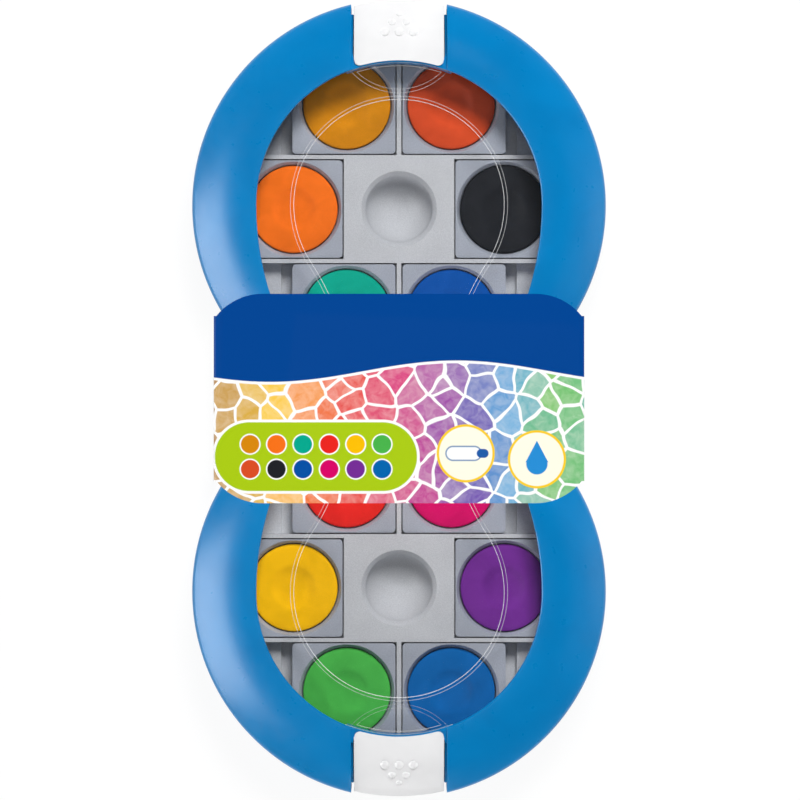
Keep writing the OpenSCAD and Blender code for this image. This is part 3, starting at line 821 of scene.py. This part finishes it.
def moulded_white():
    finish = Finish("moulded_white", roughness=0.3)
    clouds = finish.span(finish.noise(80, 2), 0.3, 0.7)
    finish.colour(finish.mix(clouds, rgb(233, 233, 234), rgb(239, 239, 240)))
    finish.bump(finish.noise(1800, 3), 0.008 * MM, 0.5)
    return finish.material


def clear_pane():
    """Clear moulded sheet, which lets almost all light through."""
    finish = Finish("clear_pane", roughness=0.06, Alpha=0.003)
    finish.colour(finish.mix(finish.noise(50, 2), rgb(236, 244, 250), rgb(246, 250, 252)))
    finish.bump(finish.noise(120, 2), 0.02 * MM, 0.4)
    return finish.material


def clear_edge(name, cover):
    """A rounded edge of the sheet, painted whitish and partly opaque as a painted highlight where it
    catches the light, so it hides a share of what is under it.
    """
    finish = Finish(name, roughness=0.1, Alpha=cover)
    finish.colour(finish.mix(finish.noise(200, 2), rgb(248, 250, 252), rgb(255, 255, 255)))
    return finish.material


def dry_paint(name, colour):
    """Dry opaque paint: a dull chalky face with uneven pigment."""
    finish = Finish("paint_" + name, roughness=0.62, Specular_IOR_Level=0.12)
    pale = tuple(min(1, c * 1.07 + 0.004) for c in colour[:3]) + (1,)
    deep = tuple(c * 0.92 for c in colour[:3]) + (1,)
    pools = finish.span(finish.noise(110, 3, 1.2), 0.3, 0.7)
    grains = finish.span(finish.noise(1900, 2), 0.3, 0.7)
    value = finish.math("MULTIPLY_ADD", pools, 0.75, finish.math("MULTIPLY", grains, 0.25))
    finish.colour(finish.mix(value, deep, pale))
    finish.rough(finish.span(pools, 0, 1, 0.55, 0.7))
    finish.bump(grains, 0.03 * MM, 0.5)
    return finish.material


def plain_board():
    """The unprinted grey-white board on the back of the band, with its pulp showing."""
    finish = Finish("plain_board", roughness=0.75)
    pulp = finish.span(finish.noise(900, 4), 0.35, 0.65)
    finish.colour(finish.mix(pulp, rgb(226, 226, 222), rgb(240, 240, 237)))
    finish.bump(pulp, 0.02 * MM, 0.5)
    return finish.material


class Print(Finish):
    """Print on card, laid on colour by colour. Its places and sizes are in millimetres."""

    def __init__(self, name, **sockets):
        super().__init__(name, **sockets)
        to_mm = self.add("ShaderNodeVectorMath", {"operation": "SCALE"}, Vector=self.place, Scale=1 / MM)
        self.spot = to_mm.outputs[0]
        self.x, self.y, _ = self.add("ShaderNodeSeparateXYZ", Vector=self.spot).outputs
        self.ink = None

    def length(self, across, along):
        squares = self.math("MULTIPLY_ADD", across, across, self.math("MULTIPLY", along, along))
        return self.math("SQRT", squares)

    def disc(self, centre, radius):
        """Distance from a disc's edge, below 0 inside it."""
        across = self.math("SUBTRACT", self.x, centre[0])
        along = self.math("SUBTRACT", self.y, centre[1])
        return self.math("SUBTRACT", self.length(across, along), radius)

    def pill(self, centre, half, radius):
        """Distance from the edge of a bar with round ends that runs half each way along X."""
        across = self.math("ABSOLUTE", self.math("SUBTRACT", self.x, centre[0]))
        past = self.math("MAXIMUM", self.math("SUBTRACT", across, half), 0.0)
        along = self.math("SUBTRACT", self.y, centre[1])
        return self.math("SUBTRACT", self.length(past, along), radius)

    def drop(self, centre):
        """Distance from the edge of a drop of water with its point upwards."""
        round_foot = self.disc((centre[0], centre[1] - 1.5), 3.6)
        across = self.math("ABSOLUTE", self.math("SUBTRACT", self.x, centre[0]))
        slope = self.math("ADD", self.math("MULTIPLY", across, 1.9), self.y)
        under_tip = self.math("SUBTRACT", slope, centre[1] + 6.3)
        over_foot = self.math("SUBTRACT", centre[1] - 1, self.y)
        return self.math("MINIMUM", round_foot, self.math("MAXIMUM", under_tip, over_foot))

    def lay(self, outline, colour, grown=0.0):
        """Prints a colour inside an outline, grown by so much, with a slightly soft edge."""
        blur = 0.12
        if grown:
            outline = self.math("SUBTRACT", outline, grown)
        self.ink = self.mix(self.span(outline, -blur, blur, 1, 0), self.ink, colour)


# Places and sizes on the card's print, in millimetres
PLATE = (-28, -19.6)
PLATE_HALF = 22.5
PLATE_R = 11.6
FIRST_DOT = (-50.2, -15.4)
DOT_STEP = (8.9, 8.4)
DOT_R = 3.1
TUBE_BADGE = (22.5, -18.5)
DROP_BADGE = (46.5, -20.5)
BADGE_R = 9.8
HEADER_Y = 9.2
HEADER_WAVE = 3.6
RAINBOW = [(168, 120, 62), (206, 160, 74), (247, 202, 54), (240, 120, 50), (226, 52, 60), (214, 50, 120),
           (170, 70, 160), (96, 92, 178), (70, 160, 214), (126, 196, 90), (76, 176, 150)]
BOARD_WHITE = rgb(252, 252, 250)


def pebbles(card):
    """Pebbles of watercolour, from brown in the west through the rainbow to green in the east."""
    wobble = card.add("ShaderNodeTexNoise", Vector=card.spot, Scale=0.09, Detail=1.0)
    bent = card.add("ShaderNodeVectorMath", {"operation": "MULTIPLY_ADD"})
    for value, socket in zip((wobble.outputs["Color"], (5, 5, 0), card.spot), bent.inputs):
        card.feed(value, socket)
    cells = []
    for feature in ("F1", "DISTANCE_TO_EDGE"):
        cells.append(card.add("ShaderNodeTexVoronoi", {"voronoi_dimensions": "2D", "feature": feature},
                              Vector=bent.outputs[0], Scale=0.12))
    near, joint = cells
    middle_x = card.add("ShaderNodeSeparateXYZ", Vector=near.outputs["Position"]).outputs[0]
    stops = [(i / (len(RAINBOW) - 1), rgb(*colour)) for i, colour in enumerate(RAINBOW)]
    wash = card.ramp(card.span(middle_x, -66, 68), stops)
    chance = card.add("ShaderNodeSeparateColor", Color=near.outputs["Color"]).outputs[0]
    bloom = card.span(card.noise(330, 4, 0.8), 0.35, 0.7)
    faded = card.math("MULTIPLY_ADD", chance, 0.14, card.math("MULTIPLY", bloom, 0.2))
    wash = card.mix(faded, wash, rgb(255, 250, 240))
    card.ink = card.mix(card.span(joint.outputs["Distance"], 0.045, 0.075, 1, 0), wash, BOARD_WHITE)


def paint_plate(card):
    """A lime plate with a dot for each paint."""
    plate = card.pill(PLATE, PLATE_HALF, PLATE_R)
    card.lay(plate, BOARD_WHITE, grown=0.9)
    card.lay(plate, rgb(168, 200, 20))
    for i, paint in enumerate(PAINTS.values()):
        column, row = divmod(i, 2)
        dot = card.disc((FIRST_DOT[0] + DOT_STEP[0] * column, FIRST_DOT[1] - DOT_STEP[1] * row), DOT_R)
        card.lay(dot, BOARD_WHITE, grown=0.45)
        card.lay(dot, rgb(*paint))


def badges(card):
    """Two round badges, with a tube lying level on one and a drop of water on the other."""
    for centre in (TUBE_BADGE, DROP_BADGE):
        badge = card.disc(centre, BADGE_R)
        card.lay(badge, rgb(250, 205, 40))
        card.lay(badge, rgb(253, 248, 228), grown=-0.8)
    body = card.pill((TUBE_BADGE[0] - 0.7, TUBE_BADGE[1]), 3.6, 2.6)
    card.lay(body, rgb(120, 150, 185))
    card.lay(body, rgb(250, 251, 253), grown=-0.5)
    card.lay(card.pill((TUBE_BADGE[0] + 5.7, TUBE_BADGE[1]), 0.5, 1.5), rgb(30, 90, 165))
    card.lay(card.drop(DROP_BADGE), rgb(40, 140, 210))


def header(card):
    """A blue header over the card's north end, with a waved edge."""
    wave = card.math("SINE", card.math("MULTIPLY_ADD", card.x, 0.05, 0.6))
    crest = card.math("ADD", card.math("MULTIPLY", wave, HEADER_WAVE), HEADER_Y)
    edge = card.math("SUBTRACT", crest, card.y)
    card.lay(edge, BOARD_WHITE, grown=0.9)
    card.lay(edge, rgb(0, 67, 144))


def printed_board():
    card = Print("printed_board", roughness=0.4, Specular_IOR_Level=0.1)
    pebbles(card)
    paint_plate(card)
    badges(card)
    header(card)
    card.colour(card.ink)
    card.bump(card.noise(700, 3), 0.012 * MM, 0.4)
    return card.material


def white_paper():
    """Matt paper that shows as plain white to the eye and in gloss, and keeps a share of its shadow."""
    finish = Finish("white_paper", roughness=0.9, Base_Color=(0.8, 0.8, 0.8, 1))
    path = finish.add("ShaderNodeLightPath").outputs
    seen = finish.math("MAXIMUM", path["Is Camera Ray"], path["Is Glossy Ray"])
    seen = finish.math("MAXIMUM", seen, path["Is Transmission Ray"])
    glow = finish.add("ShaderNodeEmission", Strength=1.03)
    blend = finish.add("ShaderNodeMixShader")
    share = finish.math("MULTIPLY", seen, 0.9)
    for value, socket in zip((share, finish.shader.outputs[0], glow.outputs[0]), blend.inputs):
        finish.feed(value, socket)
    finish.feed(blend.outputs[0], finish.tree.nodes["Material Output"].inputs["Surface"])
    return finish.material


def paint_with(piece, *materials):
    piece.data.materials.clear()
    for material in materials:
        piece.data.materials.append(material)


# ---- Putting it together ----

blue = moulded_blue()
grey = moulded_grey("moulded_grey", rgb(198, 200, 204), rgb(176, 178, 183))
cup_grey = moulded_grey("cup_grey", rgb(171, 176, 187), rgb(146, 151, 162))
white_plastic = moulded_white()

lid = lid_frame()
paint_with(lid, blue)
dress(lid, "lid", "case_blue", "lid_frame")

north = latch()
paint_with(north, white_plastic)
south = north.copy()
south.data = north.data.copy()
bpy.context.scene.collection.objects.link(south)
south.name = south.data.name = "south_latch_finished"
reshape(south, lambda point: Vector((-point.x, -point.y, point.z)))
dress(north, "north_latch", "latch_white", "north_latch")
dress(south, "south_latch", "latch_white", "south_latch")

base = merged_copy("base_tray")
soften(base, CASE_EDGE)
paint_with(base, blue)
dress(base, "base", "case_blue", "base_tray")

insert = merged_copy("paint_insert")
reshape(insert, wider_socket)
soften(insert, INSERT_EDGE, sharper_than=24)
smooth(insert, 20)
paint_with(insert, grey)
dress(insert, "base", "insert_grey", "paint_insert")

for name, colour in PAINTS.items():
    cup = merged_copy("cup_" + name)
    narrow(cup, GAP_EXTRA)
    soften(cup, CUP_EDGE)
    paint_with(cup, cup_grey)
    dress(cup, "base", "cup_grey", "cup_" + name)
    pressed_cake = cake("cake_" + name + "_finished", "cake_" + name)
    paint_with(pressed_cake, dry_paint(name, rgb(*colour)))
    dress(pressed_cake, "base", "paint_" + name, "cake_" + name)

window = merged_copy("lid_window")
soften(window, PANE_EDGE)
# The sheet's rounded edges carry painted highlights, strong along the top of the dish's brim and faint on
# the rest
paint_with(window, clear_pane(), clear_edge("bright_edge", 0.85), clear_edge("faint_edge", 0.4))
BRIM_DEPTH = 0.6 * MM
for face in window.data.polygons:
    level = abs(face.normal.z) > 0.97
    on_brim = face.center.z > SHEET_TOP - BRIM_DEPTH and abs(face.center.y) < DISH_END_Y
    face.material_index = 0 if level else 1 if on_brim else 2
dress(window, "lid", "clear_window", "lid_window")

white_tube = tube()
paint_with(white_tube, white_plastic)
dress(white_tube, "base", "tube_white", "tube_body")
cap = merged_copy("tube_cap")
soften(cap, CAP_EDGE)
paint_with(cap, white_plastic)
dress(cap, "cap", "tube_cap_white", "tube_cap")

front = card_half("card_band_front", toward=-1)
paint_with(front, printed_board())
# The card throws no shadow here, so that the paints beside it stay evenly lit
front.visible_shadow = False
dress(front, "lid", "printed_card", "card_band_front")
back = card_half("card_band_back", toward=1)
paint_with(back, plain_board())
dress(back, "base", "printed_card", "card_band_back")

# ---- Floor, light and camera ----

FLOOR_SIZE = 6
let_go()
bpy.ops.mesh.primitive_plane_add(size=FLOOR_SIZE)
floor = bpy.context.object
floor.name = "floor"
paint_with(floor, white_paper())

world = bpy.data.worlds.new("pale_room")
bpy.context.scene.world = world
world.use_nodes = True
sky = world.node_tree.nodes["Background"]
sky.inputs["Color"].default_value = (1, 1, 1, 1)
sky.inputs["Strength"].default_value = 0.04

LOOK_AT = Vector((0, 0, 0.02))


def soft_lamp(name, place, size, power, lights=True, shines=False):
    """A square soft box aimed at the object. It lights surfaces, shows in their gloss, or does both."""
    lamp = bpy.data.objects.new(name, bpy.data.lights.new(name, "AREA"))
    bpy.context.scene.collection.objects.link(lamp)
    lamp.location = place
    lamp.rotation_euler = (LOOK_AT - Vector(place)).to_track_quat("-Z", "Y").to_euler()
    lamp.data.size = size
    lamp.data.energy = power
    lamp.visible_diffuse = lights
    lamp.visible_glossy = shines


soft_lamp("key", place=(0.24, 1.02, 1.42), size=0.6, power=29)
soft_lamp("overhead", place=(0, 0, 1.6), size=0.5, power=2.4)
soft_lamp("south_low", place=(0, -1.65, 0.35), size=0.6, power=14)
soft_lamp("west_low", place=(-1.6, -0.2, 0.35), size=0.6, power=10)
soft_lamp("east_low", place=(1.6, 0, 0.35), size=0.6, power=6)
soft_lamp("west_box", place=(-1.32, -0.34, 0.64), size=1.2, power=36, lights=False, shines=True)
soft_lamp("east_box", place=(1.32, 0, 0.62), size=1.2, power=1.8, lights=False, shines=True)

# The camera looks straight down, and the frame is VIEW_WIDTH wide at VIEW_LEVEL, CAMERA_UP below it
CAMERA_UP = 1.5
VIEW_LEVEL = 0.024
VIEW_WIDTH = 0.2712
CAMERA_X = 0.34 * MM
CAMERA_Y = -0.5 * MM
SENSOR = 36
camera = bpy.data.objects.new("camera", bpy.data.cameras.new("camera"))
bpy.context.scene.collection.objects.link(camera)
camera.location = (CAMERA_X, CAMERA_Y, CAMERA_UP + VIEW_LEVEL)
camera.data.sensor_width = SENSOR
camera.data.lens = SENSOR * CAMERA_UP / VIEW_WIDTH
camera.data.clip_end = 20
bpy.context.scene.camera = camera
bpy.context.scene.view_settings.view_transform = "Standard"
